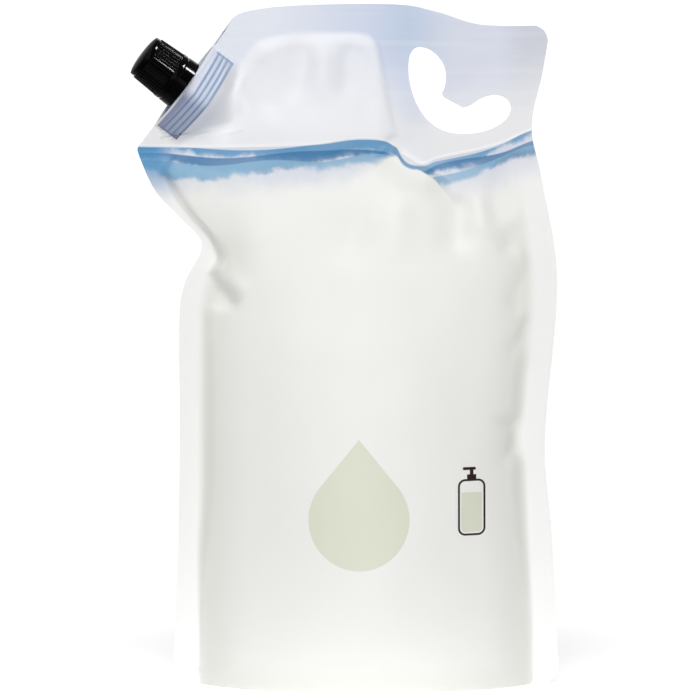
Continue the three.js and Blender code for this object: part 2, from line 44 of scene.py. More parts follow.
studio = {
    "distance": 2.2,
    "elevation": 2.5,
    "target": (0.0024, 0.0, 0.1773),
    "frameWidth": 0.371,      # what 700 pixels span at the pack
    "backdrop": 1.1,          # brightness of the white paper straight behind the pack
    "behind": 0.35,           # of the room behind it
    "ahead": 0.02,            # of the room in front of it
    "boxes": [                # soft boxes: degrees round to the right, degrees up, distance, size, power
        (0, 12, 2.6, 1.7, 25.0),
        (-3, 48, 2.6, 1.5, 38.5),
        (175, 38, 2.8, 1.2, 16.0),
    ],
    # place, size and power of a strong lamp on the right that lights only the black plastic
    "spark": ((1.33, -0.38, 1.69), (0.55, 0.22), 170.0),
    "floorGlow": (0.37, 0.85),   # light from under the table, near the pack and far behind it
}


def aimedAt(thing, target):
    thing.rotation_mode = "QUATERNION"
    thing.rotation_quaternion = (Vector(target) - thing.location).to_track_quat("-Z", "Y")


def makeCamera():
    data = bpy.data.cameras.new("camera")
    camera = bpy.data.objects.new("camera", data)
    bpy.context.collection.objects.link(camera)
    tilt = math.radians(studio["elevation"])
    away = Vector((0, -math.cos(tilt), math.sin(tilt))) * studio["distance"]
    camera.location = Vector(studio["target"]) + away
    aimedAt(camera, studio["target"])
    data.sensor_width = 36
    data.lens = 36 * studio["distance"] / studio["frameWidth"]
    data.clip_end = 50
    bpy.context.scene.camera = camera


def softBox(name, place, size, power, target=(0, 0, 0.18)):
    data = bpy.data.lights.new(name, "AREA")
    data.shape = "RECTANGLE"
    data.size, data.size_y = size
    data.energy = power
    light = bpy.data.objects.new(name, data)
    light.location = place
    aimedAt(light, target)
    bpy.context.collection.objects.link(light)
    return light


def makeSpark(pieces):
    place, size, power = studio["spark"]
    spark = softBox("spark", place, size, power, (-0.09, 0, 0.33))
    lit = bpy.data.collections.new("glossy")
    for piece in pieces:
        lit.objects.link(piece)
    spark.light_linking.receiver_collection = lit


def makeStudio():
    for i, (turn, rise, away, size, power) in enumerate(studio["boxes"]):
        turn, rise = math.radians(turn), math.radians(rise)
        way = Vector((math.sin(turn) * math.cos(rise), -math.cos(turn) * math.cos(rise), math.sin(rise)))
        softBox("box%d" % (i + 1), Vector((0, 0, 0.18)) + way * away, (size, size), power)
    world = bpy.data.worlds.new("studio")
    bpy.context.scene.world = world
    world.use_nodes = True
    tree = world.node_tree
    way = tree.nodes.new("ShaderNodeSeparateXYZ")
    tree.links.new(tree.nodes.new("ShaderNodeTexCoord").outputs["Generated"], way.inputs[0])

    def shareOf(low, high):
        node = tree.nodes.new("ShaderNodeMapRange")
        node.interpolation_type = "SMOOTHSTEP"
        node.inputs["From Min"].default_value, node.inputs["From Max"].default_value = low, high
        tree.links.new(way.outputs["Y"], node.inputs["Value"])
        return node.outputs[0]

    def mixed(share, first, second):
        node = tree.nodes.new("ShaderNodeMix")
        node.data_type = "RGBA"
        tree.links.new(share, node.inputs[0])
        for socket, value in zip((node.inputs[6], node.inputs[7]), (first, second)):
            if isinstance(value, bpy.types.NodeSocket):
                tree.links.new(value, socket)
            else:
                socket.default_value = (*value, 1)
        return node.outputs[2]

    warm = (1.0, 0.965, 0.9)
    room = mixed(shareOf(-0.3, 0.5), [studio["ahead"] * c for c in warm], [studio["behind"]] * 3)
    light = mixed(shareOf(0.955, 0.985), room, [studio["backdrop"]] * 3)
    tree.links.new(light, tree.nodes["Background"].inputs["Color"])
    tree.nodes["Background"].inputs["Strength"].default_value = 1.0
    bpy.context.scene.view_settings.view_transform = "Standard"


# node helpers

def colour(code):
    parts = [int(code[i:i + 2], 16) / 255 for i in (0, 2, 4)]
    return tuple(c / 12.92 if c <= 0.04045 else ((c + 0.055) / 1.055) ** 2.4 for c in parts) + (1.0,)


class nodeGraph:      # the few node moves that the materials below share
    def __init__(self, name):
        self.material = bpy.data.materials.new(name)
        self.material.use_nodes = True
        self.tree = self.material.node_tree
        self.shader = self.tree.nodes["Principled BSDF"]

    def add(self, kind, **settings):
        node = self.tree.nodes.new(kind)
        for key, value in settings.items():
            setattr(node, key, value)
        return node

    def feed(self, socket, value):
        if isinstance(value, bpy.types.NodeSocket):
            self.tree.links.new(value, socket)
        elif value is not None:
            socket.default_value = value

    def math(self, operation, *values, clamp=False):
        node = self.add("ShaderNodeMath", operation=operation, use_clamp=clamp)
        for socket, value in zip(node.inputs, values):
            self.feed(socket, value)
        return node.outputs[0]

    def times(self, first, *others, clamp=False):
        for i, value in enumerate(others):
            first = self.math("MULTIPLY", first, value, clamp=clamp and i == len(others) - 1)
        return first

    def plus(self, first, *others):
        for value in others:
            first = self.math("ADD", first, value)
        return first

    def minus(self, first, second):
        return self.math("SUBTRACT", first, second)

    def length(self, first, second):
        return self.math("SQRT", self.plus(self.times(first, first), self.times(second, second)))

    def step(self, value, low, high):
        node = self.add("ShaderNodeMapRange", interpolation_type="SMOOTHSTEP")
        for socket, item in zip(node.inputs, (value, low, high, 0.0, 1.0)):
            self.feed(socket, item)
        return node.outputs[0]

    def blend(self, factor, first, second):
        node = self.add("ShaderNodeMix", data_type="RGBA")
        self.feed(node.inputs[0], factor)
        self.feed(node.inputs[6], first)
        self.feed(node.inputs[7], second)
        return node.outputs[2]

    def noise(self, scale, detail=3, vector=None, stretch=None, rough=0.5):
        if stretch:
            mapping = self.add("ShaderNodeMapping")
            mapping.inputs["Scale"].default_value = stretch
            self.feed(mapping.inputs["Vector"], vector)
            vector = mapping.outputs[0]
        node = self.add("ShaderNodeTexNoise")
        self.feed(node.inputs["Vector"], vector)
        node.inputs["Scale"].default_value = scale
        node.inputs["Detail"].default_value = detail
        node.inputs["Roughness"].default_value = rough
        return node.outputs[0]

    def bump(self, height, strength, distance):
        node = self.add("ShaderNodeBump")
        node.inputs["Strength"].default_value = strength
        node.inputs["Distance"].default_value = distance
        self.feed(node.inputs["Height"], height)
        self.feed(self.shader.inputs["Normal"], node.outputs[0])

    def roughness(self, value, least, more):
        self.feed(self.shader.inputs["Roughness"], self.plus(least, self.times(value, more)))

    def place(self):
        place = self.add("ShaderNodeTexCoord").outputs["Object"]
        parts = self.add("ShaderNodeSeparateXYZ")
        self.feed(parts.inputs[0], place)
        return place, parts.outputs[0], parts.outputs[1], parts.outputs[2]


# the bag: sizes in millimetres, x = 0 midway between the side edges, seen from the front

bag = {
    "shift": 10.923,          # from the bag's x to the pack's
    "width": 198,
    "height": 360,
    "footFlare": 3.4,
    "footCut": (5, 8),
    "waistDrop": 127,
    "waistInset": 12,
    "waistReach": 40,
    "shoulderDrop": 75,
    "shoulderReach": 21,
    "cornerEdgeAngle": 52.9,
    "cornerDrop": 14.4,
    "rightPinch": (130, 3.8),
    "rightBulge": (213, 2.2),
    "rightWaist": (295, 11.4),
    "rightWaistReach": 29,
    "topBend": 38,
    "handleCorner": (1.4, 11),
    "handleCornerRadius": 8,
    "film": 0.6,
    "fillVolume": 2.05e6,
    "soapLevel": 292,
    "footDepth": 86,
    "skirt": 1.0,
    "gussetLow": 15.5,
    "gussetHigh": 64,
    "gussetSag": 0.6,
    "headRise": 2.0,          # how far the pocket's head stands up beside its welds
    "headEdge": 8,
    "head": ((272, 296), (22, 6)),      # where it starts and is full, in z and in x
    "shoulderRise": 5.0,
    "shoulderEdge": 4.4,
    "shoulderWall": ((-20, -66), (192, 242), (288, 268)),      # the same in x, and in z from below and from above
    "gussetStep": 0.35,       # how far the films stand out where the gusset is welded to them
    "rows": 250,
    "innerColumns": 104,
}

# inner line of the welds, from the foot up the left side and round: the film is free of its partner inside it
weldLine = [
    (-89, -10), (-89.3, 30), (-90.2, 71), (-89.4, 119), (-89.4, 190), (-88.6, 203), (-86.6, 212), (-83, 219.5),
    (-79.6, 225), (-81.4, 232), (-86.9, 240), (-93.6, 247), (-101.5, 257), (-106.6, 268), (-107.6, 275.5),
    (-63.6, 333.8), (-60.5, 338.4), (-56.4, 341.5), (-47, 344.3), (-34.9, 345.8), (-15, 346.2), (-1, 345.4),
    (4.6, 342), (7.6, 336), (9.6, 325), (12.6, 309), (16.4, 293), (19.8, 286), (25.5, 280.8), (34, 277.4),
    (45, 276), (57, 277.2), (68, 280), (76, 279.5), (79.5, 274), (82, 262), (85, 249), (88, 235), (90.6, 212),
    (90, 197), (88.5, 178), (86.6, 161), (85.2, 143), (83.2, 134), (83.3, 127), (85.7, 119), (86.6, 99),
    (87.2, 71), (88.6, 30), (89, -10),
]

# upper line of the gusset's U-shaped weld, which shows through the films, and round the free film over it
gussetLine = np.array([(-84, 62), (-76, 40), (-64, 25.5), (-46, 19), (-18, 14.6), (0, 14.2), (18, 15.2),
                       (44, 22.5), (62, 31.5), (74, 44), (81, 58), (81, 400), (-84, 400)])

# uneven film: size and seed of the dimples, their height, and over how much they set in from the weld and the foot
dimples = {
    "front": [(34, 3.1, 1.1, 18, (20, 90)), (13, 5.5, 0.28, 10, (12, 50))],
    "back": [(34, 8.7, 1.1, 18, (20, 90)), (13, 1.7, 0.28, 10, (12, 50))],
}

spout = {
    "lean": 9.5,
    "leanReach": 45,
    "leanSoftness": 20,
    "shift": 2,
    "baseLength": 49.5,
    "baseThickness": 19.4,
    "bladeWidth": 1.2,
    "baseDepths": (2.8, 13.2),
    "ribPitch": 2.9,
    "ribHeight": 1.7,
    "ribLift": 0.62,
    "chevron": 1.5,           # how much lower the weld reaches at its middle
    "clearance": 0.3,
}

# folds and dents of each film: the points of the run, then lift in mm (down is negative), widths on the left and
# right of the run, how cusped it is from 0 to 1, and how much of each end fades out
creases = {
    "front": [
        # waist fold and the three-cornered dent under it
        ([(-107, 271.5), (-100.5, 259.5), (-93.5, 248.5), (-87.5, 239.5), (-82, 231), (-80.5, 221)],
         -4.5, (2.6, 3), 0.2, (0.25, 0.12)),
        ([(-81, 225), (-78, 219.5), (-71, 212.5), (-61, 204)], 3.2, (7, 5), 0.3, (0.1, 0.3)),
        ([(-89, 215), (-85, 209), (-79, 204.5), (-72, 203), (-64, 204.5)], -6.5, (8.5, 4.5), 0.25, (0.1, 0.4)),
        # ridge by the handle with the valley beside it, and the fold-over at its foot
        ([(0, 343), (5, 336), (8.2, 320), (11.4, 305), (15, 291), (19, 282)], 1.2, (3.6, 2.6), 0.1, (0.12, 0.1)),
        ([(-6, 338), (-2.5, 322), (0.5, 306), (3, 292)], -1.4, (6.5, 6), 0, (0.3, 0.35)),
        ([(12, 291), (17.5, 283.8), (26, 278), (35, 273.2), (46, 267.5)], -6, (2.4, 2), 0.5, (0.12, 0.3)),
        ([(12, 287), (17, 280.5), (25, 275), (34, 270.2), (45, 264)], 5, (1.9, 10), 0.2, (0.12, 0.35)),
        # broad waves over the shoulder
        ([(-6, 258), (-8.5, 240), (-9, 214)], -2, (10, 10), 0, (0.4, 0.5)),
        ([(21, 262), (17, 246), (15, 222)], 1.8, (9, 9), 0, (0.3, 0.5)),
        # soft hollows of the head, left to right
        ([(-63, 334), (-57, 323), (-50, 311), (-45, 297)], -4.4, (6, 8), 0.15, (0.35, 0.5)),
        ([(-36.5, 345), (-34, 331), (-38, 316), (-44, 304)], -3.6, (5.5, 8), 0.15, (0.3, 0.5)),
        ([(-24, 342), (-22, 322), (-22, 304)], 1.8, (6, 7), 0, (0.3, 0.5)),
        ([(-9, 343), (-7, 330), (-8, 320), (-15, 309)], -3.6, (7, 5.5), 0.15, (0.35, 0.5)),
        ([(-83, 303), (-75, 298.5), (-66, 293)], -3.2, (8, 7.5), 0, (0.5, 0.45)),
        # right shoulder, under the handle
        ([(79, 275), (75, 264), (70, 254), (66, 240)], -4.2, (7, 7), 0.05, (0.1, 0.45)),
        ([(62, 262), (62, 248), (61, 234)], 1.7, (7, 8), 0, (0.35, 0.45)),
        ([(51, 262), (48, 246), (45, 222)], -3.2, (8, 9), 0, (0.25, 0.4)),
        ([(88, 237), (78, 233.5), (68, 228)], -3.6, (4, 7), 0.25, (0.1, 0.6)),
        ([(92, 216), (83, 204), (74, 193)], -4.4, (4, 8.5), 0.25, (0.1, 0.6)),
        ([(89, 190), (80, 180), (73, 170)], -2.8, (4, 5), 0.3, (0.05, 0.6)),
        # pinch in the right edge
        ([(85, 134), (75, 138.5), (66, 143)], -4, (4, 4), 0.4, (0.05, 0.6)),
        ([(85, 129), (76, 123), (69, 115)], -3.4, (4, 5), 0.4, (0.05, 0.6)),
    ],
    "back": [
        ([(-88, 236), (-72, 226), (-48, 218)], -6, (10, 7), 0.4, (0.1, 0.5)),
        ([(14, 284), (30, 270), (58, 256)], -4, (8, 5), 0.4, (0.1, 0.5)),
        ([(8, 334), (6, 312), (-2, 296)], -1.6, (6, 6), 0.1, (0.1, 0.5)),
        ([(84, 132), (70, 140), (52, 146)], -3, (6, 8), 0.3, (0.05, 0.6)),
        ([(91, 213), (74, 204), (60, 200)], -2.4, (6, 4), 0.4, (0.05, 0.6)),
        ([(-90, 150), (-76, 158), (-62, 160)], -2.2, (5, 7), 0.3, (0.05, 0.6)),
        ([(-64, 334), (-54, 318), (-46, 300)], -1.8, (6, 8), 0.1, (0.1, 0.5)),
    ],
}


def splineThrough(points, steps=20):
    known = np.array(points, float)
    held = np.vstack([known[:1], known, known[-1:]])
    share = np.linspace(0, 1, steps, endpoint=False)[:, None]
    parts = []
    for i in range(len(known) - 1):
        before, start, end, after = held[i:i + 4]
        leave, arrive = (end - before) / 2, (after - start) / 2
        cubic = (2 * start - 2 * end + leave + arrive) * share ** 3
        square = (3 * end - 3 * start - 2 * leave - arrive) * share ** 2
        parts.append(cubic + square + leave * share + start)
    return np.vstack(parts + [known[-1:]])


def along(path, share):
    run = np.concatenate([[0], np.cumsum(np.hypot(*np.diff(path, axis=0).T))])
    return np.stack([np.interp(share, run / run[-1], path[:, i]) for i in (0, 1)], -1)


def smooth(low, high, value):
    share = np.clip((value - low) / (high - low), 0, 1)
    return share * share * (3 - 2 * share)


side = bag["width"] / 2
height = bag["height"]
waistHeight = height - bag["waistDrop"]
edgeAngle = math.radians(bag["cornerEdgeAngle"])
edgeWay = np.array([math.cos(edgeAngle), math.sin(edgeAngle)])
edgeOut = np.array([-edgeWay[1], edgeWay[0]])
edgeLength = (bag["shoulderDrop"] - bag["cornerDrop"]) / edgeWay[1]
shoulder = np.array([-side - bag["shoulderReach"], height - bag["shoulderDrop"]])
cornerTop = shoulder + edgeWay * edgeLength
spoutPoint = shoulder + edgeWay * (edgeLength / 2 + spout["shift"])
lean = math.radians(spout["lean"])


def borders():
    foot = side + bag["footFlare"]
    cutWidth, cutHeight = bag["footCut"]
    reach, inset, out = bag["waistReach"], bag["waistInset"], bag["shoulderReach"]
    left = splineThrough([
        (-foot, cutHeight), (-side - bag["footFlare"] / 3, waistHeight * 0.3), (-side, waistHeight * 0.6),
        (-side, waistHeight - reach), (-side + inset * 0.25, waistHeight - reach * 0.5), (-side + inset, waistHeight),
        (-side, waistHeight + reach * 0.375), (-side - out * 0.6, waistHeight + reach * 0.725),
        (shoulder[0], shoulder[1] - reach * 0.1), tuple(shoulder)])
    left = np.vstack([[(-foot + cutWidth, 0)], left, [cornerTop]])
    pinchHeight, pinch = bag["rightPinch"]
    bulgeHeight, bulge = bag["rightBulge"]
    narrowHeight, narrow = bag["rightWaist"]
    cornerInset, cornerDrop = bag["handleCorner"]
    span = bag["rightWaistReach"]
    right = splineThrough([
        (foot, cutHeight), (side, pinchHeight * 0.6), (side - pinch, pinchHeight), (side + bulge, bulgeHeight),
        (side - narrow * 0.5, narrowHeight - span), (side - narrow, narrowHeight),
        (side - narrow * 0.5, narrowHeight + span), (side - cornerInset, height - cornerDrop)])
    right = np.vstack([[(foot - cutWidth, 0)], right])
    top = splineThrough([
        tuple(cornerTop), (cornerTop[0] + bag["topBend"] * 0.21, height - bag["cornerDrop"] * 0.35),
        (cornerTop[0] + bag["topBend"], height - bag["cornerDrop"] * 0.05), (side * 0.15, height),
        (side * 0.38, height - cornerDrop * 0.36), (side * 0.62, height - cornerDrop * 0.97),
        (side - cornerInset, height - cornerDrop)])
    return left, right, top


borderLeft, borderRight, borderTop = borders()


def outlinePoint(u, v):
    left, right, top = along(borderLeft, v), along(borderRight, v), along(borderTop, u)
    u, v = u[..., None], v[..., None]
    bottom = borderLeft[0] * (1 - u) + borderRight[0] * u
    flat = bottom * (1 - v) + (borderTop[0] * (1 - u) + borderTop[-1] * u) * v
    return left * (1 - u) + right * u + bottom * (1 - v) + top * v - flat


def spoutOffset(x, z):
    dx, dz = x - spoutPoint[0], z - spoutPoint[1]
    return dx * edgeWay[0] + dz * edgeWay[1], -(dx * edgeOut[0] + dz * edgeOut[1])


def insideDepth(loop, x, z):
    # distance inside a closed line, negative outside
    best = np.full(np.shape(x), 1e9)
    inside = np.zeros(np.shape(x), bool)
    for (ax, az), (bx, bz) in zip(loop, np.roll(loop, -1, 0)):
        dx, dz = bx - ax, bz - az
        share = np.clip(((x - ax) * dx + (z - az) * dz) / max(dx * dx + dz * dz, 1e-9), 0, 1)
        best = np.minimum(best, np.hypot(x - ax - share * dx, z - az - share * dz))
        if abs(dz) > 1e-9:
            inside ^= ((az > z) != (bz > z)) & (x < ax + (z - az) * dx / dz)
    return np.where(inside, best, -best)


weldLoop = splineThrough(weldLine, 5)


def middle(x, z):
    # the surface midway between the films: flat, but the spout corner leans forward and the handle corner back
    reach = np.maximum(spout["leanReach"] - spoutOffset(x, z)[1], -spout["leanSoftness"])
    soft = spout["leanSoftness"]
    eased = np.where(reach < soft, (reach + soft) ** 2 / (4 * soft), reach)
    handle = 3 * smooth(0, 60, np.minimum(x - 12, z - 276))
    return handle - math.tan(lean) * eased


def boatHalf(offset):
    rise = (spout["baseThickness"] - spout["bladeWidth"]) / 2
    end = spout["baseLength"] / 2
    radius = (end ** 2 + rise ** 2) / (2 * rise)
    return np.sqrt(np.maximum(radius ** 2 - offset ** 2, 0)) - radius + rise + spout["bladeWidth"] / 2


def footHalf(x):
    across = np.minimum(np.abs(x) / (side - 10), 1)
    return bag["film"] / 2 + (bag["footDepth"] - bag["film"]) / 2 * (1 - across ** 2.4) ** 0.8


def fillBag():
    # film under the soap's pressure, relaxed like a membrane on an even grid
    step = 1.5
    xs = np.arange(-side - bag["shoulderReach"] - step, side + bag["footFlare"] + 2 * step, step)
    zs = np.arange(0, height + 2 * step, step)
    x, z = np.meshgrid(xs, zs)
    thin = bag["film"] / 2
    depth = insideDepth(weldLoop, x, z)
    offset, down = spoutOffset(x, z)
    onBase = (np.abs(offset) < spout["baseLength"] / 2) & (down < spout["baseDepths"][1])
    start = np.where(onBase, boatHalf(offset), thin)
    held = (depth < 0) | onBase
    start[0] = footHalf(xs)
    held[0] = held[-1] = True
    held[:, 0] = held[:, -1] = True
    push = np.maximum(bag["soapLevel"] - z, 0) / bag["soapLevel"]
    checks = [((np.add.outer(np.arange(len(zs)), np.arange(len(xs))) % 2) == c) & ~held for c in (0, 1)]

    def settle(pressure):
        film = start.copy()
        for _ in range(520):
            for check in checks:
                around = np.zeros_like(film)
                around[1:-1, 1:-1] = film[:-2, 1:-1] + film[2:, 1:-1] + film[1:-1, :-2] + film[1:-1, 2:]
                film = np.where(check, film + 1.96 * ((around + pressure * push) / 4 - film), film)
        return film

    slack, full = settle(0), settle(1)
    content = [(film - thin).sum() * 2 * step ** 2 for film in (slack, full)]
    pressure = (bag["fillVolume"] - content[0]) / (content[1] - content[0])
    film = slack + pressure * (full - slack)
    for _ in range(4):     # takes the grid's steps off the weld line
        padded = np.pad(film, 1, mode="edge")
        blurred = (padded[:-2, 1:-1] + padded[2:, 1:-1] + padded[1:-1, :-2] + padded[1:-1, 2:] + 4 * film) / 8
        film[1:] = blurred[1:]

    def fillAt(px, pz):
        column = np.clip((px - xs[0]) / step, 0, len(xs) - 1.001)
        row = np.clip(pz / step, 0, len(zs) - 1.001)
        i, j = column.astype(int), row.astype(int)
        fx, fz = column - i, row - j
        low = film[j, i] * (1 - fx) + film[j, i + 1] * fx
        high = film[j + 1, i] * (1 - fx) + film[j + 1, i + 1] * fx
        return low * (1 - fz) + high * fz
    return fillAt


def creaseLift(face, x, z):
    total = np.zeros_like(x)
    for path, lift, (leftWidth, rightWidth), cusp, (fadeIn, fadeOut) in creases[face]:
        path = splineThrough(path, 6)
        lengths = np.hypot(*np.diff(path, axis=0).T)
        runs = np.concatenate([[0], np.cumsum(lengths)]) / lengths.sum()
        best, share, turn = np.full(x.shape, 1e9), np.zeros_like(x), np.zeros_like(x)
        for (ax, az), (bx, bz), start, end in zip(path[:-1], path[1:], runs[:-1], runs[1:]):
            dx, dz = bx - ax, bz - az
            part = np.clip(((x - ax) * dx + (z - az) * dz) / (dx * dx + dz * dz), 0, 1)
            gap = np.hypot(x - ax - part * dx, z - az - part * dz)
            nearer = gap < best
            best = np.where(nearer, gap, best)
            share = np.where(nearer, start + (end - start) * part, share)
            turn = np.where(nearer, dx * (z - az) - dz * (x - ax), turn)
        sided = smooth(-1.5, 1.5, np.sign(turn) * best)
        away = best / (rightWidth + (leftWidth - rightWidth) * sided)
        bell = np.exp(-away ** 2)
        point = np.exp(-1.3 * (np.sqrt(away ** 2 + 0.01) - 0.1))
        shape = bell + (point - bell) * cusp
        shape = shape * smooth(-0.001, fadeIn, share) * (1 - smooth(1 - fadeOut, 1.001, share))
        total += lift * shape
    return total


def wobble(x, z, scale, seed):
    flat = np.array([noise.noise(Vector((a / scale, b / scale, seed))) for a, b in zip(x.ravel(), z.ravel())])
    return flat.reshape(x.shape)


def columnPlaces(v):
    # shares across the outline: fine over the spout's weld, even over the belly
    nearLeft = np.concatenate([[0, 0.6, 1.6], np.arange(2.4, 14.2, 0.45), [14.7, 15.6]])
    nearRight = np.array([12.6, 11.4, 10.6, 10, 9.4, 8.2, 6, 3.6, 1.6, 0.5, 0])
    base, ahead = outlinePoint(np.zeros_like(v), v), outlinePoint(np.full_like(v, 0.02), v)
    width = np.hypot(*(along(borderLeft, v) - along(borderRight, v)).T)
    across = (ahead - base) / np.hypot(*(ahead - base).T)[:, None]
    up = np.gradient(base, axis=0)
    up /= np.hypot(*up.T)[:, None]
    slant = np.clip(np.abs(across[:, 0] * up[:, 1] - across[:, 1] * up[:, 0]), 0.6, 1)
    pace = np.hypot(*(ahead - base).T) / 0.02
    left = nearLeft[None] / (pace * slant)[:, None]
    right = 1 - nearRight[None] / width[:, None]
    fill = np.linspace(0, 1, bag["innerColumns"] + 2)[1:-1]
    inner = left[:, -1:] + (right[:, :1] - left[:, -1:]) * fill[None]
    return np.hstack([left, inner, right])


def filmThickness(face, x, z, fillAt):
    thin = bag["film"] / 2
    depth = insideDepth(weldLoop, x, z)
    freed = smooth(-0.3, 3.6 + 6 * smooth(255, 215, z) * smooth(40, 110, z), depth)
    swell = np.maximum(fillAt(x, z) - thin, 0) * freed
    up, across = bag["head"]
    head = smooth(*up, z) * smooth(*across, x)
    swell = swell + bag["headRise"] * head * smooth(0, bag["headEdge"], depth)
    across, up, down = bag["shoulderWall"]
    wall = smooth(*across, x) * smooth(*up, z) * smooth(*down, z)
    swell = swell + bag["shoulderRise"] * wall * smooth(0, bag["shoulderEdge"], depth)
    lift = creaseLift(face, x, z) * smooth(-1, 3.8, depth)
    for size, seed, high, inward, (low, full) in dimples[face]:
        lift = lift + wobble(x, z, size, seed) * high * smooth(0, inward, depth) * smooth(low, full, z)
    # a dent never takes more than about two thirds of the swell
    least, ease = swell * 0.35, np.minimum(swell, 2.5) * 0.5
    half = thin + (swell + lift + least + np.hypot(swell + lift - least, ease)) / 2
    half = half + bag["gussetStep"] * smooth(-1.2, 0.6, -insideDepth(gussetLine, x, z)) * smooth(60, 40, z)
    # film pulled over the ribs of the spout's weld base, then falling away below it
    offset, down = spoutOffset(x, z)
    down = down / math.cos(lean)
    end = spout["baseLength"] / 2
    top, foot = spout["baseDepths"]
    reach = np.clip(np.abs(offset) / end, 0, 1)
    down = down - spout["chevron"] * (1 - reach) * smooth(0, 6, down)
    base = boatHalf(np.clip(offset, -end, end)) + spout["clearance"] + 0.35
    phase = (foot - down) / spout["ribPitch"]
    ribShare = (phase - np.floor(phase)) * spout["ribPitch"] / spout["ribHeight"]
    rib = np.clip(1.25 * np.sin(np.pi * np.clip(ribShare, 0, 1)) ** 0.6, 0, 1)
    inRibs = smooth(top - 0.3, top, down) * (1 - smooth(foot, foot + 0.2, down))
    base = base + spout["ribLift"] * rib * inRibs
    below = np.exp(-(np.maximum(down - foot, 0) / (3 + 8 * (1 - reach))) ** 1.6)
    ends = 1 - smooth(end + 0.3, end + 1.2, np.abs(offset))
    over = thin + (base - thin) * below * ends
    return np.where(down < foot + 0.2, np.maximum(thin, over * ends + thin * (1 - ends)), np.maximum(half, over))


def closedFaces(shape):
    # faces of two grids of the same shape, one behind the other, with walls between their rims
    near = np.arange(shape[0] * shape[1]).reshape(shape)
    far = near + near.size
    faces = [np.stack([near[:-1, :-1], near[:-1, 1:], near[1:, 1:], near[1:, :-1]], -1).reshape(-1, 4),
             np.stack([far[:-1, :-1], far[1:, :-1], far[1:, 1:], far[:-1, 1:]], -1).reshape(-1, 4)]
    for a, b in ((near[0], far[0]), (far[-1], near[-1]), (far[:, 0], near[:, 0]), (near[:, -1], far[:, -1])):
        faces.append(np.stack([a[:-1], b[:-1], b[1:], a[1:]], -1))
    return np.vstack(faces)


def pouchMesh(fillAt):
    v = np.linspace(0, 1, bag["rows"] + 1)
    u = columnPlaces(v)
    grid = outlinePoint(u, np.repeat(v[:, None], u.shape[1], 1))
    x, z = grid[..., 0], np.maximum(grid[..., 1], 0)
    mid = middle(x, z)
    tiltX = (middle(x + 0.5, z) - middle(x - 0.5, z))
    tiltZ = (middle(x, z + 0.5) - middle(x, z - 0.5))
    normal = np.stack([-tiltX, np.ones_like(x), -tiltZ], -1)
    normal /= np.linalg.norm(normal, axis=-1, keepdims=True)
    centre = np.stack([x, mid, z], -1)
    skins = []
    for face, way in (("front", -1), ("back", 1)):
        half = filmThickness(face, x, z, fillAt)
        skin = centre + way * half[..., None] * normal
        skin[0, :, 1] = way * footHalf(x[0])
        skin[0, :, 2] = 0
        skins.append(skin)
    return np.vstack([skin.reshape(-1, 3) for skin in skins]), closedFaces(x.shape)


def makeMesh(name, points, faces):
    points = np.array(points, float) + (bag["shift"], 0, 0)
    mesh = bpy.data.meshes.new(name)
    mesh.from_pydata((points * mm).tolist(), [], [list(map(int, f)) for f in faces])
    mesh.validate()
    mesh.update()
    thing = bpy.data.objects.new(name, mesh)
    bpy.context.collection.objects.link(thing)
    return thing


def extruded(outline, low, high, axis="y"):
    # a closed outline carried straight between two depths, as a cutter
    outline = np.array(outline, float)
    count = len(outline)
    ends = [np.insert(outline, 1 if axis == "y" else 2, value, axis=1) for value in (low, high)]
    faces = [list(range(count)), list(range(2 * count - 1, count - 1, -1))]
    faces += [[i, count + i, count + (i + 1) % count, (i + 1) % count] for i in range(count)]
    return ends, faces


def outwards(thing):
    work = bmesh.new()
    work.from_mesh(thing.data)
    bmesh.ops.recalc_face_normals(work, faces=work.faces)
    work.to_mesh(thing.data)
    work.free()


def cut(thing, cutter):
    outwards(cutter)
    tool = thing.modifiers.new("cut", "BOOLEAN")
    tool.operation = "DIFFERENCE"
    tool.solver = "MANIFOLD"
    tool.object = cutter
    bpy.context.view_layer.update()
    done = bpy.data.meshes.new_from_object(thing.evaluated_get(bpy.context.evaluated_depsgraph_get()))
    thing.modifiers.clear()
    old = thing.data
    thing.data = done
    bpy.data.meshes.remove(old)
    bpy.data.objects.remove(cutter)


def dropSlivers(thing):
    # the cutters can leave loose faces where they graze the film: only the largest closed run of faces stays
    work = bmesh.new()
    work.from_mesh(thing.data)
    bmesh.ops.remove_doubles(work, verts=work.verts, dist=1e-7)
    unseen, runs = set(work.faces), []
    while unseen:
        run, waiting = [], [unseen.pop()]
        while waiting:
            face = waiting.pop()
            run.append(face)
            for edge in face.edges:
                if len(edge.link_faces) == 2:
                    for other in edge.link_faces:
                        if other in unseen:
                            unseen.remove(other)
                            waiting.append(other)
        runs.append(run)
    runs.sort(key=len)
    for run in runs[:-1]:
        bmesh.ops.delete(work, geom=run, context="FACES")
    work.to_mesh(thing.data)
    work.free()
    print("loose slivers dropped:", len(runs) - 1)


def bezier(start, out, arrive, end, steps=14):
    t = np.linspace(0, 1, steps, endpoint=False)[:, None]
    start, out, arrive, end = (np.array(p, float) for p in (start, out, arrive, end))
    return (1 - t) ** 3 * start + 3 * (1 - t) ** 2 * t * out + 3 * (1 - t) * t * t * arrive + t ** 3 * end


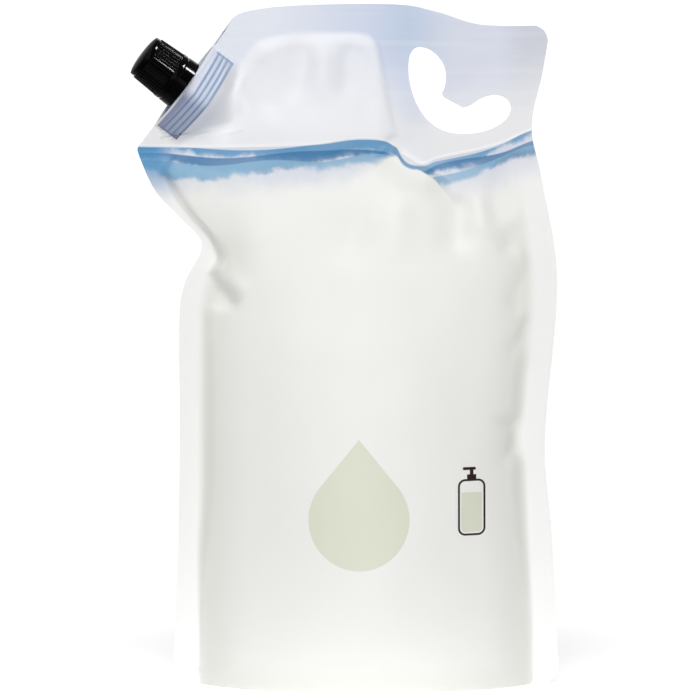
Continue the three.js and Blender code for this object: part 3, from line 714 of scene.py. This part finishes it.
def handHole():
    # two finger lobes round a tab of film, drawn from the tab
    runs = [
        ((-9.6, -2), (-7.4, 2), (-6.9, 7), (-8.1, 11.3)),
        ((-8.1, 11.3), (-9.8, 17.5), (-16, 22.5), (-21.4, 22.5)),
        ((-21.4, 22.5), (-26, 22.5), (-27.4, 17), (-27.4, 12)),
        ((-27.4, 12), (-27.4, 1), (-23, -11), (-16, -17.1)),
        ((-16, -17.1), (-11.5, -21.3), (-5, -23.4), (1.5, -23.4)),
        ((1.5, -23.4), (14, -23.4), (26.8, -18), (26.8, -9.5)),
        ((26.8, -9.5), (26.8, -5.5), (23, -2.8), (18.4, -2.8)),
        ((18.4, -2.8), (10, -2.8), (6.5, -9.4), (1.5, -9.4)),
    ]
    outline = np.vstack([bezier(*run) for run in runs] + [[(1.5, -9.4), (-8.6, -4)]])
    return outline + (side - 49.3, height - 45)


def handleCornerTrim():
    corner = borderTop[-1]
    alongTop = along(borderTop, np.array([0.97]))[0] - corner
    alongSide = along(borderRight, np.array([0.985]))[0] - corner
    alongTop, alongSide = (way / np.hypot(*way) for way in (alongTop, alongSide))
    radius = bag["handleCornerRadius"]
    halfAngle = math.acos(np.clip(alongTop @ alongSide, -1, 1)) / 2
    inward = alongTop + alongSide
    inward /= np.hypot(*inward)
    centre = corner + inward * radius / math.sin(halfAngle)
    first = corner + alongTop * radius / math.tan(halfAngle)
    last = corner + alongSide * radius / math.tan(halfAngle)
    angles = [math.atan2(*(p - centre)[::-1]) for p in (first, last)]
    turns = np.linspace(angles[0], angles[1], 16)
    arc = centre + radius * np.stack([np.cos(turns), np.sin(turns)], -1)
    return np.vstack([arc, [corner - inward * radius]])


def gussetSpace(fillAt):
    # what is under the folded gusset: a groove behind each skirt, rising to an arch at the side seals
    columns, rows = 90, 48
    across = np.sin((np.arange(columns + 1) / columns - 0.5) * np.pi)
    deep = np.sin((np.arange(rows + 1) / rows - 0.5) * np.pi)
    across, deep = np.meshgrid(across, deep)
    x = across * (side - 10 - bag["skirt"] - 2.5)
    arch = bag["gussetLow"] + (bag["gussetHigh"] - bag["gussetLow"]) * np.abs(across) ** 5
    ridge = bag["gussetHigh"] * smooth(0.66, 1.1, np.abs(across))
    z = ridge + (arch - ridge) * np.abs(deep) ** 5 - bag["gussetSag"]
    wall = np.maximum(footHalf(x) - bag["skirt"], 0.3)
    level = np.maximum(z, 0)
    skins = np.where(deep < 0, filmThickness("front", x, level, fillAt), filmThickness("back", x, level, fillAt))
    roof = np.maximum(np.minimum(skins, footHalf(x) * 1.4) - bag["skirt"] - 0.8 * smooth(2, 12, level), 0.25)
    pleats = 0.35 * np.sin(x / 5.5) * (1 - np.abs(deep)) * smooth(1, 8, z)
    top = np.stack([x, deep * roof, z + pleats], -1).reshape(-1, 3)
    bottom = np.stack([x, deep * wall, np.full_like(x, -5)], -1).reshape(-1, 3)
    return np.vstack([top, bottom]), closedFaces(x.shape)


# the spout's own frame, from the CAD: origin on the slanted edge, z outwards along the neck

spoutHome = np.array([*spoutPoint, 0.0])[[0, 2, 1]] + (0, float(middle(*spoutPoint)), 0)
spoutX = np.array([edgeWay[0], 0, edgeWay[1]])
spoutZ = np.array([math.cos(lean) * edgeOut[0], -math.sin(lean), math.cos(lean) * edgeOut[1]])
spoutY = np.cross(spoutZ, spoutX)


def fromSpout(points):
    points = np.array(points, float)
    return spoutHome + points[:, :1] * spoutX + points[:, 1:2] * spoutY + points[:, 2:] * spoutZ


def boatOutline(growth, steps=40):
    end = spout["baseLength"] / 2
    place = np.linspace(-end, end, steps + 1)
    half = np.maximum(boatHalf(place) + growth, spout["bladeWidth"] / 4)
    reach = place * (end + growth) / end
    return np.vstack([np.stack([reach, -half], -1), np.stack([reach, half], -1)[::-1]])


def spoutBlock(name, growth, low, high):
    ends, faces = extruded(boatOutline(growth), low, high, axis="z")
    return makeMesh(name, fromSpout(np.vstack(ends)), faces)


def makePouch():
    fillAt = fillBag()
    points, faces = pouchMesh(fillAt)
    pouch = makeMesh("pouch_film", points, faces)
    outwards(pouch)
    cut(pouch, spoutBlock("pocket", spout["clearance"], -spout["baseDepths"][1] - spout["clearance"], 5))
    cut(pouch, makeMesh("gussetSpace", *gussetSpace(fillAt)))
    for outline in (handHole(), handleCornerTrim()):
        ends, walls = extruded(outline, -60, 60)
        cut(pouch, makeMesh("punch", np.vstack(ends), walls))
    dropSlivers(pouch)
    pouch.data.polygons.foreach_set("use_smooth", [True] * len(pouch.data.polygons))
    pouch.data.set_sharp_from_angle(angle=math.radians(48))
    places = np.empty(len(pouch.data.vertices) * 3)
    pouch.data.vertices.foreach_get("co", places)
    places = places.reshape(-1, 3) / mm
    inside = pouch.data.attributes.new("weldDepth", "FLOAT", "POINT")      # mm inside the line where the welds end
    inside.data.foreach_set("value", insideDepth(weldLoop, places[:, 0] - bag["shift"], places[:, 2]))
    print("pouch:", len(pouch.data.polygons), "faces")
    return pouch


# printed film

printed = {
    "body": "F2F2EF",
    "seal": "F4F4F3",
    # painted warm shade for the body where it turns away to the side welds
    "flankShade": "EAEAE5",
    "skyLeft": "E6EAF4",
    "skyTop": "CDD6E9",
    "skyDeep": "BCCBE1",
    "skyRight": "D6DAE8",
    "skyEdge": "CBCED9",
    "skyPocket": "F0F1F5",
    "skyLow": "EAEAEB",
    "wash": "CDD3E2",
    "ribbons": ["3B8CBC", "1D6FA3", "7FAFCE"],
    "tip": "4290C4",
    "window": "DEE0CF",
    "ink": "2A1A14",
    # blue-grey of the spout's weld through the film; the darker tone of each pair is a painted shade for the
    # lower-left half
    "weldBright": "C3CFE4",
    "weldShadedHalf": "9BA6BF",
    "weldLine": "98ABC8",
    "weldLineShadedHalf": "7386A8",
    "weldFoot": "DADDEC",
    "weldFootShadedHalf": "858CAA",
    "weldShade": "D3D7E2",
}


layout = {      # where the print lies on the film, in metres
    "horizonSpan": (-0.11, 0.11),
    "horizonFoot": 0.270,
    "horizonReach": 0.0315,
    "horizonCurve": [(0, 0.5), (0.25, 0.49), (0.42, 0.53), (0.56, 0.62), (0.62, 0.5), (0.667, 0.2), (0.72, 0.3),
                     (0.85, 0.5), (0.97, 0.82), (1, 0.86)],
    "ribbonStep": 0.0040,
    "ribbonWave": 0.0013,
    "ribbonDepth": (0.0046, 0.0024),      # and how much it changes
    "window": (0.0071, 0.0902),           # middle of the drop's round part
    "windowRadius": 0.0263,
    "windowPoint": 0.0414,                # how far up its point is from there
    "sign": (0.0663, 0.0958),
    "flask": (0, 0, 0.0068, 0.0142, 0.0034),      # place in the sign, half width, half height and corner radius
    "pump": [(0, 0.0158, 0.0024, 0.0013, 0.0003), (0, 0.0185, 0.0009, 0.0018, 0.0001),
             (-0.0012, 0.0202, 0.0034, 0.0007, 0.0005)],
}


def filmMaterial():
    g = nodeGraph("printed_film")
    place, x, y, z = g.place()
    front = g.step(y, 0.004, -0.004)

    def tint(name):
        return colour(printed[name])

    # height of the printed horizon: the flat print is level, and the folds by the handle bend it
    curve = g.add("ShaderNodeFloatCurve")
    points = layout["horizonCurve"]
    line = curve.mapping.curves[0]
    line.points[0].location, line.points[1].location = points[0], points[-1]
    for point in points[1:-1]:
        line.points.new(*point)
    curve.mapping.update()
    left, right = layout["horizonSpan"]
    g.feed(curve.inputs["Value"], g.math("DIVIDE", g.minus(x, left), right - left, clamp=True))
    above = g.minus(z, g.plus(layout["horizonFoot"], g.times(curve.outputs[0], layout["horizonReach"])))
    grain = g.noise(55, 5, place, rough=0.6)
    cloud = g.noise(16, 3, place)
    # pale gradient over the horizon, deepest at the top edge between the pocket and the handle
    sky = g.blend(g.step(x, -0.045, 0.02), tint("skyLeft"), tint("skyTop"))
    sky = g.blend(g.times(g.step(x, 0.005, 0.036), g.step(z, 0.318, 0.345)), sky, tint("skyDeep"))
    sky = g.blend(g.step(x, 0.030, 0.062), sky, tint("skyRight"))
    sky = g.blend(g.step(x, 0.078, 0.098), sky, tint("skyEdge"))
    sky = g.blend(g.times(g.step(above, 0.050, 0.002), 0.95), sky, tint("skyLow"))
    brushed = g.noise(1, 3, place, stretch=(9, 9, 260))
    sky = g.blend(g.times(g.step(brushed, 0.45, 0.75), 0.14), sky, (0.92, 0.93, 0.95, 1))
    weldDepth = g.add("ShaderNodeAttribute", attribute_name="weldDepth").outputs["Fac"]
    sky = g.blend(g.times(g.step(weldDepth, -0.6, 3.0), 0.75), sky, tint("skyPocket"))
    # white body: brightest where the films are welded, with a painted warm shade where they turn away to the side
    # welds
    body = g.blend(g.step(weldDepth, -0.5, 1.5), tint("seal"), tint("body"))
    flankShadeMask = g.times(g.step(weldDepth, 0.0, 6.0), g.step(weldDepth, 30.0, 8.0), g.step(z, 0.262, 0.232))
    body = g.blend(flankShadeMask, body, tint("flankShade"))
    # on the front, the fold below the handle hides the lower part of the print
    shown = g.plus(g.times(g.step(x, 0.0370, 0.0640), 0.026), g.times(g.step(x, 0.0340, -0.0140), 0.030))
    shown = g.plus(0.0034, shown, g.times(g.step(y, -0.004, 0.004), 0.04))
    soft = g.plus(0.0006, g.times(g.step(x, 0.0300, 0.0100), 0.006))
    kept = g.step(g.plus(above, shown), g.times(soft, -1.0), soft)
    # soft wash under the horizon, and three plain wavy ribbons
    edge = g.plus(g.times(g.minus(grain, 0.5), 0.016), above)
    washed = g.times(g.step(edge, -0.030, -0.008), g.plus(0.55, g.times(cloud, 0.6)), clamp=True)
    paint = g.blend(g.times(washed, kept), body, tint("wash"))
    deep, change = layout["ribbonDepth"]
    for i, code in enumerate(printed["ribbons"]):
        wave = g.math("SINE", g.plus(g.times(x, 58 + 21 * i), 1.3 + 2.1 * i))
        top = g.minus(g.times(wave, layout["ribbonWave"]), 0.0012 + layout["ribbonStep"] * i)
        swell = g.math("SINE", g.plus(g.times(x, 33 + 11 * i), 1.1 + 2.4 * i))
        foot = g.minus(top, g.plus(deep, g.times(swell, change)))
        ribbon = g.times(g.step(above, g.plus(top, 0.0003), g.minus(top, 0.0003)),
                         g.step(edge, g.minus(foot, 0.0020), g.plus(foot, 0.0020)), kept)
        ribbon = g.times(ribbon, g.plus(0.40, g.times(cloud, 0.85)), clamp=True)
        paint = g.blend(ribbon, paint, colour(code))
    # blue running down the seal at the left tip, and a pale line along the horizon
    tip = g.times(g.step(x, -0.086, -0.100), g.step(above, -0.036, -0.002), 0.85)
    paint = g.blend(tip, paint, tint("tip"))
    paint = g.blend(g.step(above, -0.0004, 0.0003), paint, sky)
    crest = g.step(g.math("ABSOLUTE", g.plus(above, 0.0002)), 0.0011, 0.0004)
    paint = g.blend(g.times(crest, 0.8), paint, (0.92, 0.92, 0.92, 1))
    # clear drop-shaped window with the pale soap behind it
    radius, point = layout["windowRadius"], layout["windowPoint"]
    wx, wz = (g.minus(value, middle) for value, middle in zip((x, z), layout["window"]))
    disc = g.step(g.length(wx, wz), radius + 0.0002, radius - 0.0001)
    half = math.asin(radius / point)
    slope = g.plus(g.times(g.math("ABSOLUTE", wx), math.cos(half)), g.times(g.minus(wz, point), math.sin(half)))
    shoulders = g.step(wz, (radius - 0.0001) * math.sin(half), (radius + 0.0001) * math.sin(half))
    cone = g.times(g.step(slope, 0.0002, -0.0001), shoulders)
    paint = g.blend(g.times(g.math("MAXIMUM", disc, cone), front), paint, tint("window"))
    # small plain sign of a pump bottle
    bx, bz = (g.minus(value, middle) for value, middle in zip((x, z), layout["sign"]))

    def slab(cx, cz, halfWidth, halfHeight, radius):
        qx = g.minus(g.math("ABSOLUTE", g.minus(bx, cx)), halfWidth - radius)
        qz = g.minus(g.math("ABSOLUTE", g.minus(bz, cz)), halfHeight - radius)
        out = g.length(g.math("MAXIMUM", qx, 0.0), g.math("MAXIMUM", qz, 0.0))
        return g.minus(g.plus(out, g.math("MINIMUM", g.math("MAXIMUM", qx, qz), 0.0)), radius)

    flask = slab(*layout["flask"])
    pump, *others = [slab(*part) for part in layout["pump"]]
    for part in others:
        pump = g.math("MINIMUM", pump, part)
    filled = g.times(g.step(flask, -0.0012, -0.0014), g.step(bz, 0.0080, 0.0076))
    paint = g.blend(g.times(filled, front), paint, tint("window"))
    outline = g.step(g.math("ABSOLUTE", flask), 0.00062, 0.00046)
    drawn = g.math("MAXIMUM", outline, g.step(pump, 0.00015, -0.00005))
    paint = g.blend(g.times(drawn, front), paint, tint("ink"))
    # the spout's weld shows through as blue-grey bands, in the spout's own frame, with painted shade over its
    # lower-left half
    shifted = g.add("ShaderNodeVectorMath", operation="SUBTRACT")
    g.feed(shifted.inputs[0], place)
    shifted.inputs[1].default_value = Vector(spoutHome + (bag["shift"], 0, 0)) * mm

    def dot(axis):
        node = g.add("ShaderNodeVectorMath", operation="DOT_PRODUCT")
        g.feed(node.inputs[0], shifted.outputs[0])
        node.inputs[1].default_value = axis
        return node.outputs["Value"]

    offset, down = dot(spoutX), g.times(dot(spoutZ), -1.0)
    aside = g.math("ABSOLUTE", offset)
    end, foot = spout["baseLength"] / 2 * mm, (spout["baseDepths"][1] + 0.4) * mm
    dip = g.math("SUBTRACT", 1.0, g.math("DIVIDE", aside, end), clamp=True)
    down = g.minus(down, g.times(dip, spout["chevron"] * mm, g.step(down, 0.0, 0.006)))
    inWeld = g.times(g.step(aside, end + 0.00055, end + 0.00015), g.step(down, foot + 0.0004, foot),
                     g.step(down, 0.0006, 0.0014))
    # painted shade: the weld's lower-left half takes darker tones, darkest in the strip beside the cap
    shadedHalf = g.step(offset, 0.002, -0.006)
    # painted shade in the hollow where the film falls away below the weld
    shade = g.times(g.step(down, 0.0330, 0.0150), g.step(g.math("ABSOLUTE", g.plus(offset, 0.008)), 0.020, 0.006))
    paint = g.blend(g.times(shade, g.step(above, 0.0, 0.006), 0.7), paint, tint("weldShade"))
    sleeve = g.blend(shadedHalf, tint("weldBright"), tint("weldShadedHalf"))
    sleeveFoot = g.blend(shadedHalf, tint("weldFoot"), tint("weldFootShadedHalf"))
    paint = g.blend(g.times(inWeld, 0.95), paint, g.blend(g.step(down, 0.0046, 0.0022), sleeve, sleeveFoot))
    # darker lines over the ribs and round the rim: partly the weld's own tone seen through the film, partly painted
    # shade at the rib edges
    phase = g.math("FRACT", g.math("DIVIDE", g.minus(foot, down), spout["ribPitch"] * mm))
    bands = g.step(g.math("ABSOLUTE", g.minus(phase, 0.24)), 0.30, 0.04)
    bands = g.times(bands, inWeld, g.step(down, 0.0020, 0.0034))
    rim = g.times(g.step(aside, end - 0.00105, end - 0.00045), inWeld, g.step(down, 0.0024, 0.0034))
    bands = g.times(g.math("MAXIMUM", bands, rim), 0.9)
    paint = g.blend(bands, paint, g.blend(shadedHalf, tint("weldLine"), tint("weldLineShadedHalf")))
    g.feed(g.shader.inputs["Base Color"], paint)
    streaks = g.noise(1, 2, place, stretch=(60, 60, 900))
    fine = g.noise(900, 2, place)
    g.roughness(cloud, 0.36, 0.16)
    g.bump(g.plus(g.times(streaks, 0.6), g.times(fine, 0.4)), 0.25, 0.00008)
    g.shader.inputs["Specular IOR Level"].default_value = 0.42
    return g.material


# turned pieces of the spout and cap, in the spout's frame (radius, height)

cap = {
    "foot": 7.2,
    "gripFoot": 10.1,
    "stepFoot": 24.1,
    "crownFoot": 24.7,
    "top": 26.9,
    "dome": 1.2,
    "collarRadius": 13.4,
    "gripRadius": 13.1,
    "taper": 0.75,
    "ribDepth": 0.4,
    "ribs": 40,
    "stepRadius": 11.4,
    "crownRadius": 11.75,
    "bore": 11.0,
    "ceiling": 25.4,
}


def turned(name, profile, segments=160, ribs=0, closed=False):
    # profile rows are (radius, height) or (radius, height, share of the rib's depth)
    turns = np.arange(segments) / segments * 2 * np.pi
    rings = []
    for row in profile:
        radius, level, ribbed = (*row, 0)[:3]
        wave = (0.5 - 0.5 * np.cos(ribs * turns)) ** 1.5 if ribs else 0
        reach = np.maximum(radius - ribbed * cap["ribDepth"] * wave, 0)
        rings.append(np.stack([reach * np.cos(turns), reach * np.sin(turns), np.full(segments, level)], -1))
    points = np.vstack(rings)
    index = np.arange(len(points)).reshape(-1, segments)
    faces = []
    pairs = list(zip(index[:-1], index[1:])) + ([(index[-1], index[0])] if closed else [])
    for a, b in pairs:
        faces.append(np.stack([a, np.roll(a, -1), np.roll(b, -1), b], -1))
    faces = [list(f) for f in np.vstack(faces)]
    if not closed:
        faces += [list(index[0][::-1]), list(index[-1])]
    piece = makeMesh(name, fromSpout(points), faces)
    outwards(piece)
    piece.data.polygons.foreach_set("use_smooth", [True] * len(piece.data.polygons))
    piece.data.set_sharp_from_angle(angle=math.radians(38))
    return piece


def makeCap():
    c = cap
    low, high = c["gripFoot"], c["stepFoot"]
    collar, grip, step, crown = c["collarRadius"], c["gripRadius"], c["stepRadius"], c["crownRadius"]
    foot, crownFoot, top, dome = c["foot"], c["crownFoot"], c["top"], c["dome"]
    inner = [(0.4, c["ceiling"]), (c["bore"] - 0.3, c["ceiling"]), (c["bore"], c["ceiling"] - 0.3)]
    skirt = [(c["bore"], foot), (collar - 0.3, foot), (collar, foot + 0.3), (collar, low - 0.5),
             (collar - 0.12, low - 0.2), (grip - c["ribDepth"], low - 0.05)]
    ribbed = [(grip - c["taper"] * s, low + (high - low) * s, 1) for s in np.linspace(0, 1, 9)]
    crowned = [
        (grip - c["taper"] - 0.35, high + 0.12), (step + 0.1, high + 0.15), (step, high + 0.25), (step, crownFoot),
        (crown - 0.12, crownFoot + 0.05), (crown, crownFoot + 0.2), (crown, top - 0.6), (crown - 0.18, top - 0.2),
        (crown - 0.6, top), (crown * 0.82, top + dome * 0.4), (crown * 0.6, top + dome * 0.75),
        (crown * 0.3, top + dome * 0.95), (0.4, top + dome)]
    return turned("cap_shell", inner + skirt + ribbed + crowned, segments=c["ribs"] * 6, ribs=c["ribs"])


band = {
    "foot": 0.4,
    "top": 6.4,
    "radius": 13.7,
    "bore": 12.05,
    "lip": 11.45,             # catches under the neck's bead
    "innerRadius": 12.7,
    "innerTop": 7.12,         # plain collar inside, up to just under the cap
}


def makeBand():
    bore, lip, out, foot, top = (band[key] for key in ("bore", "lip", "radius", "foot", "top"))
    inner, innerTop = band["innerRadius"], band["innerTop"]
    profile = [
        (lip, foot), (out - 0.3, foot), (out, foot + 0.3), (out - 0.05, foot + 1.6), (out - 0.2, top - 0.2),
        (out - 0.4, top), (inner + 0.05, top), (inner, top + 0.1), (inner, innerTop), (bore, innerTop),
        (bore, foot + 1.8), (lip, foot + 1.2)]
    return turned("band_ring", profile, segments=144, closed=True)


# moulded finishes: two tones and the noise between them, roughness and how much it changes, grain, bump and sockets
finishes = {
    "black_plastic": dict(
        tones=[(0.0003, 0.0003, 0.0004, 1), (0.001, 0.001, 0.0011, 1)], speck=(90, 4), roughness=(0.05, 0.08),
        grain=(700, 2), bump=(0.1, 0.00003), sockets={"Specular IOR Level": 0.03}),
    "milky_plastic": dict(
        tones=[colour("D9DEE8"), colour("E8ECF2")], speck=(60, 3), roughness=(0.3, 0.15),
        grain=(500, 2), bump=(0.1, 0.00005), sockets={"Subsurface Weight": 0.25, "Subsurface Scale": 0.003}),
    "foamed_wad": dict(
        tones=[colour("DEDBD0"), colour("F0EEE6")], speck=(1500, 3), roughness=(0.7, 0.2),
        grain=(1500, 3), bump=(0.4, 0.0001), sockets={}),
}


def moulded(name):
    finish = finishes[name]
    g = nodeGraph(name)
    place = g.place()[0]
    speck = g.noise(*finish["speck"], place)
    g.feed(g.shader.inputs["Base Color"], g.blend(speck, *finish["tones"]))
    g.roughness(speck, *finish["roughness"])
    g.bump(g.noise(*finish["grain"], place), *finish["bump"])
    for socket, value in finish["sockets"].items():
        g.shader.inputs[socket].default_value = value
    return g.material


def floorMaterial():
    g = nodeGraph("paper_floor")
    place, x, y = g.place()[:3]
    strip = g.step(g.math("ABSOLUTE", x), 1.7, 0.8)
    near = g.times(g.step(y, -0.15, -0.08), strip)
    far = g.times(g.step(y, 0.1, 0.9), strip)
    paper = g.blend(g.noise(300, 3, place), (0.93, 0.93, 0.93, 1), (0.97, 0.97, 0.97, 1))
    g.feed(g.shader.inputs["Base Color"], g.blend(near, (0.6, 0.6, 0.6, 1), paper))
    glowNear, glowFar = studio["floorGlow"]
    glow = g.plus(g.times(near, glowNear), g.times(far, glowFar - glowNear))
    g.feed(g.shader.inputs["Emission Strength"], glow)
    g.shader.inputs["Emission Color"].default_value = (1, 1, 1, 1)
    g.shader.inputs["Roughness"].default_value = 0.9
    g.shader.inputs["Specular IOR Level"].default_value = 0.1
    return g.material


def dress(thing, material):
    thing.data.materials.clear()
    thing.data.materials.append(material)


makeCamera()
makeStudio()
print("camera and lights are up")

pouch = makePouch()
dress(pouch, filmMaterial())
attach(pouch, "pack")
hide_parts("pouch")
print("film bag is filled and printed")

black = moulded("black_plastic")
capShell = makeCap()
dress(capShell, black)
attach(capShell, "cap")
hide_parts("cap")
bandRing = makeBand()
dress(bandRing, black)
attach(bandRing, "pack")
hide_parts("tamper_band")
dress(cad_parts["spout"], moulded("milky_plastic"))
dress(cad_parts["cap_liner"], moulded("foamed_wad"))
makeSpark([capShell, bandRing])
print("spout, band and cap are on")

bpy.ops.mesh.primitive_plane_add(size=12, location=(0, 0, -0.0001))
floor = bpy.context.object
floor.name = "floor"
dress(floor, floorMaterial())
